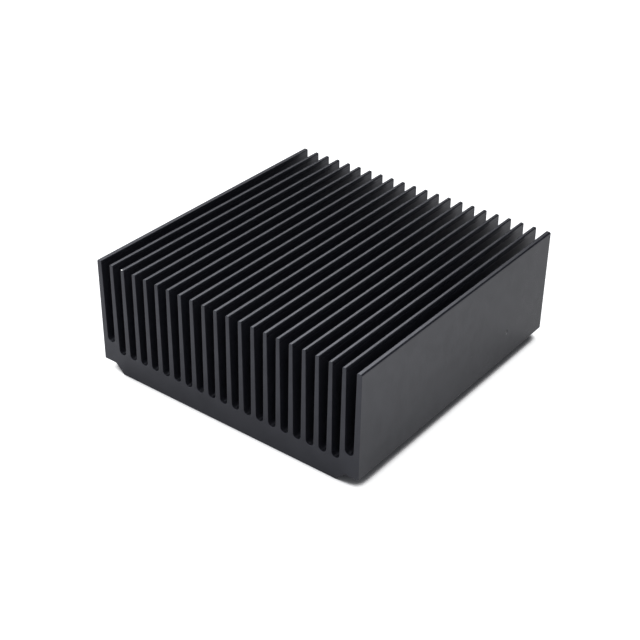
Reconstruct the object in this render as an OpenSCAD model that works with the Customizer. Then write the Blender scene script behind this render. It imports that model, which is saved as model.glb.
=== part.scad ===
// Straight fin heat sink: one length cut from a solid aluminium extrusion.
// The profile lies in the XZ plane and runs along Y. The origin is at the middle of the base
// face, on which the part stands, and the fins point up along +Z.

/* [Overall] */
// Width across the fins, from side face to side face
body_w = 117; // [112:1:130]
// Length of the piece, along the fins
body_l = 120; // [40:1:300]
// Height from the base face to the fin tips
body_h = 46; // [32:0.5:60]

/* [Fins] */
// Number of fins, with the two side walls counted
fin_count = 22; // [12:1:24]
// Distance from a side face to the middle of the first inner fin
edge_pitch = 6.95; // [6:0.05:8]
// Thickness of an inner fin at its tip
fin_tip_t = 1.5; // [1.2:0.1:2]
// Thickness of an inner fin at the level of the slot bottoms
fin_root_t = 2.2; // [1.8:0.1:2.6]
// Thickness of a side wall at its tip
wall_tip_t = 2; // [1.6:0.1:2.4]
// Thickness of a side wall at the level of the outer slot's bottom
wall_root_t = 2.3; // [2:0.1:2.8]
// Radius of the edges of a fin's tip
tip_r = 0.45; // [0.1:0.05:0.55]
// Radius of the outer top edge of a side wall
wall_top_r = 0.7; // [0.2:0.05:1]

/* [Base] */
// Thickness of the base under the inner slots
base_t = 8.8; // [7:0.1:12]
// Thickness under the outermost slot on each side
edge_base_t = 12.4; // [9:0.1:16]

/* [Side rebates] */
// Height of the ledge's underside above the base face
ledge_z = 3.7; // [2:0.1:5]
// Width of the ledge, from the side face to the corner with its slope
ledge_w = 5.6; // [3:0.1:9]
// Angle between the slope and the base face
slope_a = 45; // [35:1:75]
// Radius of the ledge's outer edge
ledge_edge_r = 0.4; // [0.1:0.1:1]
// Radius of the inner corner between the ledge and its slope
ledge_fillet_r = 1.2; // [0.4:0.1:2]
// Radius of the edge between the slope and the base face
base_edge_r = 0.6; // [0.2:0.1:1]

/* [Hidden] */
$fn = 64;

// Distance between inner fins: they share what the two edge pitches leave
pitch = (body_w - 2 * edge_pitch) / (fin_count - 3);
// How far a cutter reaches past the face it opens
over = 1;
// How far an arc stands past the faces that it joins, so that it crosses them
bite = 0.001;
// Side lean of the fin and wall faces, as width per height
fin_lean = (fin_root_t - fin_tip_t) / 2 / (body_h - base_t);
wall_lean = (wall_root_t - wall_tip_t) / (body_h - edge_base_t);
// Distance of the base face's edge from the side face
base_edge_x = ledge_w + ledge_z / tan(slope_a);

// Middle of inner fin number i, from 0 to fin_count - 3
function fin_x(i) = -body_w / 2 + edge_pitch + i * pitch;
// Unit vector along v
function unit(v) = v / norm(v);

// Area between the corner p and an arc of radius r that joins its two edges, which leave p along
// a and b. It reaches past the edges by over. Taken away it rounds an outer corner, and left
// standing it fills an inner one.
module corner(p, a, b, r) {
    ua = unit(a);
    ub = unit(b);
    half = acos(ua * ub) / 2;
    inset = r - bite;
    centre = p + unit(ua + ub) * inset / sin(half);
    reach = inset / tan(half);
    grow = (r + over) / r;
    translate(centre)
        difference() {
            polygon([
                [0, 0],
                grow * (p + reach * ua - centre),
                grow * (p - centre),
                grow * (p + reach * ub - centre)
            ]);
            circle(r);
        }
}

// Slot with leaning sides and a full-round bottom. x0 and x1 are its sides at the tips, and
// lean0 and lean1 say how much each closes in per unit of depth.
module slot(x0, x1, lean0, lean1, floor_z) {
    depth = body_h - floor_z;
    a0 = atan(lean0);
    a1 = atan(lean1);
    floor_w = x1 - x0 - (lean0 + lean1) * depth;
    spread = 1 / cos(a0) + 1 / cos(a1);
    r = (floor_w + bite * spread) / (spread - lean0 - lean1);
    inset = r - bite;
    centre = [x0 + lean0 * (depth - r) + inset / cos(a0), floor_z + r];
    translate(centre) circle(r);
    polygon([
        centre - inset * [cos(a0), sin(a0)],
        centre + inset * [cos(a1), -sin(a1)],
        [x1 + lean1 * over, body_h + over],
        [x0 - lean0 * over, body_h + over]
    ]);
    corner([x0, body_h], [-1, 0], [lean0, -1], tip_r);
    corner([x1, body_h], [1, 0], [-lean1, -1], tip_r);
}

module inner_slots() {
    half_w = (pitch - fin_tip_t) / 2;
    for (i = [0 : fin_count - 4]) {
        x = fin_x(i) + pitch / 2;
        slot(x - half_w, x + half_w, fin_lean, fin_lean, base_t);
    }
}

// What is cut away along the left side: the outer slot, the top edge and the rebate
module left_side_cuts() {
    side = -body_w / 2;
    ledge = [side + ledge_w, ledge_z];
    base_edge = [side + base_edge_x, 0];
    slot(side + wall_tip_t, fin_x(0) - fin_tip_t / 2, wall_lean, fin_lean, edge_base_t);
    corner([side, body_h], [1, 0], [0, -1], wall_top_r);
    corner([side, ledge_z], [1, 0], [0, 1], ledge_edge_r);
    corner(base_edge, [1, 0], ledge - base_edge, base_edge_r);
    difference() {
        polygon([
            [side - over, ledge_z],
            ledge,
            base_edge,
            base_edge + over * (base_edge - ledge) / ledge_z,
            [side - over, -over]
        ]);
        corner(ledge, [-1, 0], base_edge - ledge, ledge_fillet_r);
    }
}

module profile() {
    difference() {
        translate([-body_w / 2, 0]) square([body_w, body_h]);
        inner_slots();
        left_side_cuts();
        mirror([1, 0]) left_side_cuts();
    }
}

module heat_sink() {
    color([0.14, 0.14, 0.15])
        rotate([90, 0, 0])
            linear_extrude(height = body_l, center = true)
                profile();
}

heat_sink();
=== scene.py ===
import math

import bmesh
import bpy
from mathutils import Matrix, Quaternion, Vector
from mathutils.geometry import delaunay_2d_cdt


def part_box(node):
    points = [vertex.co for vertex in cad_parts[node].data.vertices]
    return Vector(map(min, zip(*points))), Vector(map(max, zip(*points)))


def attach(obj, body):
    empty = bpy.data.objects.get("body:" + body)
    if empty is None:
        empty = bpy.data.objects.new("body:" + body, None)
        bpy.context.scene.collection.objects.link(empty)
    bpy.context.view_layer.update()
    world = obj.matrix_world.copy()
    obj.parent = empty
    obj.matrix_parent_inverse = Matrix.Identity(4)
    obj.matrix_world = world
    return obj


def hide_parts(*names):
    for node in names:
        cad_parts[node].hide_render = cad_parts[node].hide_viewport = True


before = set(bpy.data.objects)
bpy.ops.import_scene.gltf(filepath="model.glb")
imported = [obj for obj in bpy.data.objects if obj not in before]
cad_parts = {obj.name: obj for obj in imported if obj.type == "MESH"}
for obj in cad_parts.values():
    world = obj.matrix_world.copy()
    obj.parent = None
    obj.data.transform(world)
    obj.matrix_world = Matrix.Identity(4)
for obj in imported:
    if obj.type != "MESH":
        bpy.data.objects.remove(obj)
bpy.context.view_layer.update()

# A straight fin heat sink in black anodised aluminium. Lengths are in metres, in the frame of the
# CAD part: X across the fins, Y along the extrusion, Z up from the base face.

MM = 0.001
# Points closer together than this count as one
WELD = 1e-7

# Camera at the photograph's viewing angle. The lens and the sensor are in millimetres.
CAMERA_AT = Vector((0.256574, -0.344826, 0.285596))
CAMERA_AIM = Vector((0.006541, -0.013410, 0.023))
CAMERA_ROLL = math.radians(0.87)
CAMERA_LENS = 75.71
SENSOR = 36.0

# Rounding of the deburred edges at the sawn ends, and its number of bands
END_ROUND = 0.15 * MM
END_BANDS = 3

# Chipped spot at the front end of the third fin's tip, a little left of the tip's middle. The
# metal is bare within the first radius and the dye is whole from the second, both less what the
# ragged edge takes.
CHIP_FIN = 3
CHIP_LEFT = 0.15 * MM
CHIP_BARE = 0.55 * MM
CHIP_WHOLE = 0.70 * MM
CHIP_RAGGED = 0.6 * MM

# Small dent low on the right side: its place along Y, its height, and its size. Just under it is a
# lighter spot, lightest within its core. It is partly a nick worn through the dye and partly a
# painted highlight standing for the dent's lit lower half.
DENT_Y = 33.0 * MM
DENT_Z = 15.6 * MM
DENT_RADIUS = 0.85 * MM
DENT_DEPTH = 0.36 * MM
NICK_HIGHLIGHT_RADIUS = 0.65 * MM
NICK_HIGHLIGHT_CORE = 0.2 * MM
NICK_HIGHLIGHT_BELOW = 1.0 * MM


# ------------------------------------------------------------------ geometry

def end_outline(node):
    """The section of the CAD part as (x, z) points in order, counterclockwise."""
    bm = bmesh.new()
    bm.from_mesh(node.data)
    bmesh.ops.remove_doubles(bm, verts=bm.verts, dist=WELD)
    end = min(v.co.y for v in bm.verts)
    on_end = {v for v in bm.verts if v.co.y - end < WELD}
    beside = {}
    for e in bm.edges:
        if set(e.verts) <= on_end and any(abs(f.normal.y) < 0.5 for f in e.link_faces):
            for v in e.verts:
                beside.setdefault(v, []).append(e.other_vert(v))
    start = min(beside, key=lambda v: (v.co.z, v.co.x))
    walk, last, here = [start], None, start
    while True:
        ahead = next(v for v in beside[here] if v is not last)
        if ahead is start:
            break
        walk.append(ahead)
        last, here = here, ahead
    points = [Vector((v.co.x, v.co.z)) for v in walk]
    bm.free()
    area = sum(a.cross(b) for a, b in zip(points, points[1:] + points[:1]))
    return points if area > 0 else points[::-1]


def tip_middles(points, top):
    """The middles of the fins' flat tips, from left to right."""
    flats = [
        (a.x + b.x) / 2
        for a, b in zip(points, points[1:] + points[:1])
        if abs(a.y - top) < WELD and abs(b.y - top) < WELD
    ]
    return sorted(flats)


def inset(points, by):
    """The outline drawn in by a distance."""
    moved = []
    for before, p, after in zip(points[-1:] + points[:-1], points, points[1:] + points[:1]):
        into, out = (p - before).normalized(), (after - p).normalized()
        n0, n1 = Vector((-into.y, into.x)), Vector((-out.y, out.x))
        mid = (n0 + n1).normalized()
        moved.append(p + mid * by / mid.dot(n0))
    return moved


def cap(bm, ring, faces_front):
    """Fills one end of the section. Its faces take the second material."""
    flat = [Vector((v.co.x, v.co.z)) for v in ring]
    triangles, made_of = delaunay_2d_cdt(flat, [], [range(len(flat))], 1, 0)[2:4]
    for tri in triangles:
        corners = [ring[made_of[i][0]] for i in tri]
        bm.faces.new(corners if faces_front else corners[::-1]).material_index = 1


def extrusion(name, outline, length):
    """A length of the section whose sawn ends have a small rounding all round."""
    bm = bmesh.new()
    turns = [math.radians(90 * i / END_BANDS) for i in range(END_BANDS + 1)]
    # Each ring of points, as how far the outline is drawn in and where it lies along Y
    back = [
        (END_ROUND * (1 - math.cos(t)), length / 2 - END_ROUND * (1 - math.sin(t)))
        for t in turns
    ]
    front = [(by, -y) for by, y in back[::-1]]
    rings = [
        [bm.verts.new((p.x, y, p.y)) for p in inset(outline, by)]
        for by, y in front + back
    ]
    for a, b in zip(rings, rings[1:]):
        for i in range(len(outline)):
            bm.faces.new((a[i - 1], a[i], b[i], b[i - 1]))
    cap(bm, rings[0], True)
    cap(bm, rings[-1], False)
    bmesh.ops.recalc_face_normals(bm, faces=bm.faces)
    for face in bm.faces:
        face.smooth = True
    mesh = bpy.data.meshes.new(name)
    bm.to_mesh(mesh)
    bm.free()
    obj = bpy.data.objects.new(name, mesh)
    bpy.context.scene.collection.objects.link(obj)
    return obj


# ------------------------------------------------------------------ materials

class Nodes:
    """Short spellings for building the node tree of one material."""

    def __init__(self, name):
        self.material = bpy.data.materials.new(name)
        self.material.use_nodes = True
        self.tree = self.material.node_tree
        self.tree.nodes.clear()
        self.out = self.add("OutputMaterial")

    def add(self, kind, inputs=None, **settings):
        made = self.tree.nodes.new("ShaderNode" + kind)
        for key, value in settings.items():
            setattr(made, key, value)
        for key, value in (inputs or {}).items():
            self.put(made.inputs[key], value)
        return made

    def put(self, socket, value):
        if isinstance(value, bpy.types.NodeSocket):
            self.tree.links.new(value, socket)
        else:
            socket.default_value = value

    def surface(self, shader):
        self.put(self.out.inputs["Surface"], shader.outputs[0])

    def math(self, operation, a, b=0.0):
        return self.add("Math", {0: a, 1: b}, operation=operation).outputs[0]

    def times(self, a, b):
        return self.math("MULTIPLY", a, b)

    def plus(self, a, b):
        return self.math("ADD", a, b)

    def ramp(self, value, lo, hi, out_lo=0.0, out_hi=1.0):
        """Goes smoothly from out_lo to out_hi as value goes from lo to hi, and stays there."""
        made = self.add(
            "MapRange",
            {"Value": value, "From Min": lo, "From Max": hi, "To Min": out_lo, "To Max": out_hi},
            interpolation_type="SMOOTHSTEP",
        )
        return made.outputs[0]

    def noise(self, vector, scale, detail, rough):
        inputs = {"Vector": vector, "Scale": scale, "Detail": detail, "Roughness": rough}
        return self.add("TexNoise", inputs).outputs["Fac"]

    def marks(self, vector, stretch, scale, detail, rough):
        """Noise that is long where stretch is small."""
        along = self.add("VectorMath", {0: vector, 1: stretch}, operation="MULTIPLY")
        return self.noise(along.outputs[0], scale, detail, rough)

    def distance(self, vector, point):
        made = self.add("VectorMath", {0: vector, 1: point}, operation="DISTANCE")
        return made.outputs["Value"]

    def split(self, vector):
        return self.add("SeparateXYZ", {0: vector}).outputs

    def bump(self, height, distance, normal=None):
        made = self.add("Bump", {"Height": height, "Distance": distance})
        if normal is not None:
            self.put(made.inputs["Normal"], normal)
        return made.outputs[0]

    def mix(self, factor, a, b):
        return self.add("Mix", {0: factor, 6: a, 7: b}, data_type="RGBA").outputs[2]


# The marks that the tool leaves. The fine and the broad ones are each a stretch along X, Y and Z,
# then a scale, a detail and a roughness of noise. The depth is how high they stand.
DRAWN = {
    "fine": ((1.0, 0.012, 1.0), 5200.0, 3.0, 0.6),
    "broad": ((1.0, 0.02, 1.0), 420.0, 2.0, 0.5),
    "depth": 0.006 * MM,
}
SAWN = {
    "fine": ((0.03, 1.0, 1.0), 3600.0, 2.0, 0.6),
    "broad": ((0.15, 1.0, 1.0), 300.0, 2.0, 0.5),
    "depth": 0.014 * MM,
}

# Noises without a direction, each as a scale, a detail and a roughness
CLOUDS = (34.0, 3.0, 0.55)
STAINS = (170.0, 3.0, 0.6)
PORES = (9000.0, 1.0, 0.5)
RAGGED_EDGE = (2600.0, 2.0, 0.5)
BARE_GRAIN = (5000.0, 2.0, 0.5)
BARE_GRAIN_DEPTH = 0.03 * MM

# What the fine marks, the broad marks and the pores give to the height
FINE_SHARE = 0.7
BROAD_SHARE = 0.3
PORE_SHARE = 0.10

# Roughness of the dyed surface, and what the fine marks, the clouds and the slots add to it
ROUGHNESS = 0.12
FINE_HAZE = 0.10
CLOUD_HAZE = 0.12
SLOT_HAZE = 0.15
# Where the slots' haze starts and where it is whole, inward of the side faces and below the tips
SLOT_INWARD = (0.3 * MM, 0.8 * MM)
SLOT_BELOW = (0.8 * MM, 3.0 * MM)

# How the stains change the reflection, and the clouds the wear, between two levels of the noise
STAIN_NOISE = (0.32, 0.68)
STAIN_LEVELS = (0.44, 0.56)
WEAR_NOISE = (0.45, 0.75)
WEAR_SHARE = 0.35

BLACK_DYE = (0.0150, 0.0158, 0.0220, 1.0)
WORN_DYE = (0.020, 0.021, 0.027, 1.0)
# Tone of the lighter spot under the dent: a worn nick, and a painted highlight for the dent's lit
# lower half
NICK_HIGHLIGHT_TONE = (0.11, 0.11, 0.12, 1.0)
BARE_METAL = (0.80, 0.80, 0.79, 1.0)
SHEEN_TINT = (0.78, 0.82, 1.0, 1.0)


def anodised(name, grain, side_x, tip_z, chip_at, dent_at):
    """Matt black anodising with the marks of a tool, DRAWN along Y or SAWN across it."""
    n = Nodes(name)
    at = n.add("TexCoord").outputs["Object"]
    fine = n.marks(at, *grain["fine"])
    broad = n.marks(at, *grain["broad"])
    cloud = n.noise(at, *CLOUDS)
    height = n.plus(n.times(fine, FINE_SHARE), n.times(broad, BROAD_SHARE))
    height = n.plus(height, n.times(n.noise(at, *PORES), PORE_SHARE))
    dent = n.bump(n.ramp(n.distance(at, dent_at), 0.0, DENT_RADIUS), DENT_DEPTH)

    rough = n.plus(n.times(fine, FINE_HAZE), n.times(cloud, CLOUD_HAZE))
    rough = n.plus(rough, ROUGHNESS)
    if grain is DRAWN:
        xyz = n.split(at)
        across = n.math("ABSOLUTE", xyz["X"])
        within = n.ramp(across, side_x - SLOT_INWARD[0], side_x - SLOT_INWARD[1])
        below = n.ramp(xyz["Z"], tip_z - SLOT_BELOW[0], tip_z - SLOT_BELOW[1])
        rough = n.plus(rough, n.times(n.times(within, below), SLOT_HAZE))

    wear = n.times(n.ramp(cloud, *WEAR_NOISE), WEAR_SHARE)
    # Lighter spot just under the dent: partly a nick worn through the dye, partly a painted
    # highlight for the dent's lit lower half
    nick_highlight_at = dent_at - Vector((0, 0, NICK_HIGHLIGHT_BELOW))
    nick_highlight = n.ramp(n.distance(at, nick_highlight_at), NICK_HIGHLIGHT_RADIUS, NICK_HIGHLIGHT_CORE)
    dyed = n.add(
        "BsdfPrincipled",
        {
            "Base Color": n.mix(nick_highlight, n.mix(wear, BLACK_DYE, WORN_DYE), NICK_HIGHLIGHT_TONE),
            "Roughness": rough,
            "IOR": 1.465,
            "Specular IOR Level": n.ramp(n.noise(at, *STAINS), *STAIN_NOISE, *STAIN_LEVELS),
            "Specular Tint": SHEEN_TINT,
            "Coat Weight": 0.35,
            "Coat Roughness": 0.55,
            "Coat IOR": 1.5,
            "Normal": n.bump(height, grain["depth"], normal=dent),
        },
    )

    # The chip: bare metal inside a ragged ball around one spot
    ragged = n.plus(n.distance(at, chip_at), n.times(n.noise(at, *RAGGED_EDGE), CHIP_RAGGED))
    bare = n.ramp(ragged, CHIP_WHOLE, CHIP_BARE)
    metal = n.add(
        "BsdfPrincipled",
        {
            "Base Color": BARE_METAL,
            "Metallic": 1.0,
            "Roughness": 0.42,
            "Normal": n.bump(n.noise(at, *BARE_GRAIN), BARE_GRAIN_DEPTH),
        },
    )
    n.surface(n.add("MixShader", {0: bare, 1: dyed.outputs[0], 2: metal.outputs[0]}))
    return n.material


# ------------------------------------------------------------------ the part

low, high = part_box("heat_sink")
side_x, tip_z = high.x, high.z
outline = end_outline(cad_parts["heat_sink"])
chip = Vector((tip_middles(outline, tip_z)[CHIP_FIN - 1] - CHIP_LEFT, low.y, tip_z))
dent = Vector((side_x, DENT_Y, DENT_Z))

sink = extrusion("extruded_body", outline, high.y - low.y)
for name, grain in (("black_anodised_drawn", DRAWN), ("black_anodised_sawn", SAWN)):
    sink.data.materials.append(anodised(name, grain, side_x, tip_z, chip, dent))
normals = sink.modifiers.new("flat_faces_stay_flat", "WEIGHTED_NORMAL")
normals.mode = "FACE_AREA"
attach(sink, "root")
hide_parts("heat_sink")


# ------------------------------------------------------------------ studio

FLOOR_WIDTH = 6.0
FLOOR_GAP = 0.01 * MM
# The floor's tone as it lights the part, and a darker one in the camera's view, where the lift
# brings it to white wherever the part isn't close
FLOOR_TONE = (0.8, 0.8, 0.8, 1.0)
SHADED_TONE = (0.46, 0.47, 0.50, 1.0)
FLOOR_LIFT = 0.95
# The contact shadow: how far it reaches, the direction it is measured about, and how open a point
# is where the lift starts and where it is whole
CONTACT = 8.0 * MM
CONTACT_LEAN = {"X": -0.40, "Y": 0.10, "Z": 0.90}
CONTACT_OPEN = (0.37, 0.59)
# The floor as the part mirrors it: how far off the part darkens it and how strongly, and its level
# at a near and a far place along Y
SURROUND = 150.0 * MM
SURROUND_POWER = 1.7
MIRRORED_Y = (-0.01, 0.11)
MIRRORED_LEVELS = (1.16, 0.71)
OPEN_SAMPLES = 16
WORLD_LEVEL = 0.45
WHITE = (1.0, 1.0, 1.0, 1.0)
BLACK_CARD = (0.01, 0.01, 0.01, 1.0)


def openness(n, inputs):
    return n.add("AmbientOcclusion", inputs, samples=OPEN_SAMPLES).outputs["AO"]


def floor_material():
    """White with a contact shadow. Mirrored in the part, it fades near it and to the back."""
    n = Nodes("pale_floor")
    path = n.add("LightPath").outputs
    seen = n.math("MAXIMUM", path["Is Camera Ray"], path["Is Transmission Ray"])
    paper = n.add("BsdfDiffuse", {"Color": n.mix(seen, FLOOR_TONE, SHADED_TONE)})
    lean = n.add("CombineXYZ", CONTACT_LEAN).outputs[0]
    near = openness(n, {"Distance": CONTACT, "Normal": lean})
    lift = n.times(n.ramp(near, *CONTACT_OPEN, 0.0, FLOOR_LIFT), seen)
    lift = n.add("Emission", {"Strength": lift})
    lifted = n.add("AddShader", {0: paper.outputs[0], 1: lift.outputs[0]})

    along = n.split(n.add("TexCoord").outputs["Object"])["Y"]
    level = n.ramp(along, *MIRRORED_Y, *MIRRORED_LEVELS)
    fade = n.math("POWER", openness(n, {"Distance": SURROUND}), SURROUND_POWER)
    # Capped at 1, which is white
    mirrored = n.math("MINIMUM", n.times(fade, level), 1.0)
    mirrored = n.add("Emission", {"Strength": mirrored})
    glossy = path["Is Glossy Ray"]
    n.surface(n.add("MixShader", {0: glossy, 1: lifted.outputs[0], 2: mirrored.outputs[0]}))
    return n.material


def add_floor():
    bpy.ops.mesh.primitive_plane_add(size=FLOOR_WIDTH, location=(0, 0, low.z - FLOOR_GAP))
    plane = bpy.context.object
    plane.name = "floor"
    plane.data.materials.append(floor_material())


def add_world():
    """White to the camera, in reflections and through glass, and dimmer as a light."""
    world = bpy.data.worlds.new("studio")
    bpy.context.scene.world = world
    world.use_nodes = True
    tree = world.node_tree
    back = tree.nodes["Background"]
    back.inputs["Color"].default_value = WHITE
    path = tree.nodes.new("ShaderNodeLightPath").outputs
    shown = path["Is Camera Ray"]
    for name in ("Is Glossy Ray", "Is Transmission Ray"):
        step = tree.nodes.new("ShaderNodeMath")
        step.operation = "MAXIMUM"
        tree.links.new(shown, step.inputs[0])
        tree.links.new(path[name], step.inputs[1])
        shown = step.outputs[0]
    level = tree.nodes.new("ShaderNodeMapRange")
    level.inputs["To Min"].default_value = WORLD_LEVEL
    level.inputs["To Max"].default_value = 1.0
    tree.links.new(shown, level.inputs["Value"])
    tree.links.new(level.outputs[0], back.inputs["Strength"])


def aim(o, azimuth, elevation, distance, front):
    """Puts an object at a distance from the top of the part, with its front axis toward it."""
    a, e = math.radians(azimuth), math.radians(elevation)
    away = Vector((math.cos(a) * math.cos(e), math.sin(a) * math.cos(e), math.sin(e)))
    o.location = Vector((0, 0, tip_z)) + away * distance
    o.rotation_mode = "QUATERNION"
    o.rotation_quaternion = (-away).to_track_quat(front, "Y")


def softbox(name, azimuth, elevation, distance, width, height, radiance):
    """A rectangular light. Its power grows with its area, so radiance sets how bright it looks."""
    lamp = bpy.data.lights.new(name, "AREA")
    lamp.shape = "RECTANGLE"
    lamp.size, lamp.size_y = width, height
    lamp.energy = radiance * width * height * math.pi
    o = bpy.data.objects.new(name, lamp)
    bpy.context.scene.collection.objects.link(o)
    aim(o, azimuth, elevation, distance, "-Z")


def flag(name, azimuth, elevation, distance, width, height):
    """A black card out of the picture that darkens the edges which would mirror it."""
    bpy.ops.mesh.primitive_plane_add(size=1.0)
    card = bpy.context.object
    card.name = name
    card.scale = (width, height, 1.0)
    aim(card, azimuth, elevation, distance, "Z")
    n = Nodes(name)
    n.surface(n.add("BsdfDiffuse", {"Color": BLACK_CARD}))
    card.data.materials.append(n.material)
    card.visible_camera = False


add_floor()
add_world()
softbox(
    "key", azimuth=159.5, elevation=57.5, distance=1.3, width=1.73, height=1.09, radiance=2.45
)
flag("flag_back_right", azimuth=64.0, elevation=28.0, distance=0.95, width=1.20, height=1.00)
flag("flag_back_left", azimuth=122.0, elevation=15.5, distance=1.15, width=2.2, height=0.58)


# ------------------------------------------------------------------ camera

camera = bpy.data.objects.new("camera", bpy.data.cameras.new("camera"))
bpy.context.scene.collection.objects.link(camera)
camera.location = CAMERA_AT
camera.rotation_mode = "QUATERNION"
look = (CAMERA_AIM - CAMERA_AT).to_track_quat("-Z", "Y")
camera.rotation_quaternion = look @ Quaternion((0, 0, 1), CAMERA_ROLL)
camera.data.sensor_width = SENSOR
camera.data.lens = CAMERA_LENS
bpy.context.scene.camera = camera

bpy.context.scene.view_settings.view_transform = "Standard"
